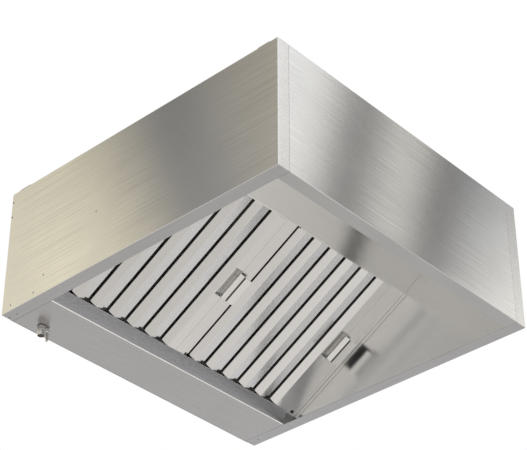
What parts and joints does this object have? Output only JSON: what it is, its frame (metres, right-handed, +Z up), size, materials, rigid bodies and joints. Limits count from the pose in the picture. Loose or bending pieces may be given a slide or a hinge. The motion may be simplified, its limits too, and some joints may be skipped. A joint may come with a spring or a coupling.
{
  "type": "wall-mounted commercial exhaust hood",
  "caption": "Wall-mounted kitchen exhaust hood in folded stainless sheet, with lift-out baffle filters on a slope, a grease trough with a drain cock, and a round duct collar on top.",
  "frame": {"origin": "middle of the lower edge of the back panel, on the wall plane", "axes": "+Y into the wall, +Z up, +X to the right as seen when facing the wall"},
  "size_m": [1, 1, 0.49],
  "materials": {
    "side_sheet": "fine horizontal brushing, warm tone",
    "front_sheet": "fine horizontal brushing",
    "inner_sheet": "mill brushed",
    "slope_sheet": "smooth brushed, soft reflections",
    "rail_sheet": "brushed",
    "trough_sheet": "brushed",
    "filter_sheet": "smooth annealed sheet",
    "rear_baffle_sheet": "smooth annealed sheet",
    "handle_sheet": "smooth annealed sheet",
    "rivet_steel": "turned",
    "bracket_steel": "mill finish",
    "cock_steel": "nickel plated",
    "plug_brass": "turned",
    "gasket_rubber": "matt black",
    "collar_sheet": "rolled sheet"
  },
  "bodies": {
    "root": {"left_side_panel": "side_sheet", "right_side_panel": "side_sheet", "front_panel": "front_sheet", "left_joint_strip": "inner_sheet", "right_joint_strip": "inner_sheet", "back_panel": "inner_sheet", "top_panel": "inner_sheet", "top_stiffeners": "inner_sheet", "filter_top_rail": "inner_sheet", "filter_centre_bar": "inner_sheet", "filter_rest_rail": "inner_sheet", "upper_slope_panel": "slope_sheet", "left_filler_panel": "rail_sheet", "right_filter_rail": "rail_sheet", "grease_trough": "trough_sheet", "trough_end_left": "trough_sheet", "trough_end_right": "trough_sheet", "rail_rivets": "rivet_steel", "trough_rivets": "rivet_steel", "collar_rivets": "rivet_steel", "hanger_rivets": "rivet_steel", "hanger_brackets": "bracket_steel", "wall_fixing_bar": "bracket_steel", "drain_cock_body": "cock_steel", "drain_locknut": "cock_steel", "drain_gasket": "gasket_rubber", "duct_collar": "collar_sheet"},
    "filter_1": {"filter_1_frame": "filter_sheet", "filter_1_front_baffles": "filter_sheet", "filter_1_rear_baffles": "rear_baffle_sheet", "filter_1_handle": "handle_sheet", "filter_1_handle_rivets": "rivet_steel"},
    "filter_2": {"filter_2_frame": "filter_sheet", "filter_2_front_baffles": "filter_sheet", "filter_2_rear_baffles": "rear_baffle_sheet", "filter_2_handle": "handle_sheet", "filter_2_handle_rivets": "rivet_steel"},
    "lever": {"drain_plug": "plug_brass", "drain_lever": "cock_steel", "lever_screw": "cock_steel"}
  },
  "joints": [
    {"name": "filter_1_lift", "type": "slide", "parent": "root", "child": "filter_1", "axis": [0, -0.866, 0.5], "range_m": [0, 0.014]},
    {"name": "filter_2_lift", "type": "slide", "parent": "root", "child": "filter_2", "axis": [0, -0.866, 0.5], "range_m": [0, 0.014]},
    {"name": "drain_lever_turn", "type": "hinge", "parent": "root", "child": "lever", "pos_m": [-0.391, -0.04, -0.008], "axis": [1, 0, 0], "range_deg": [-90, 0]}
  ]
}
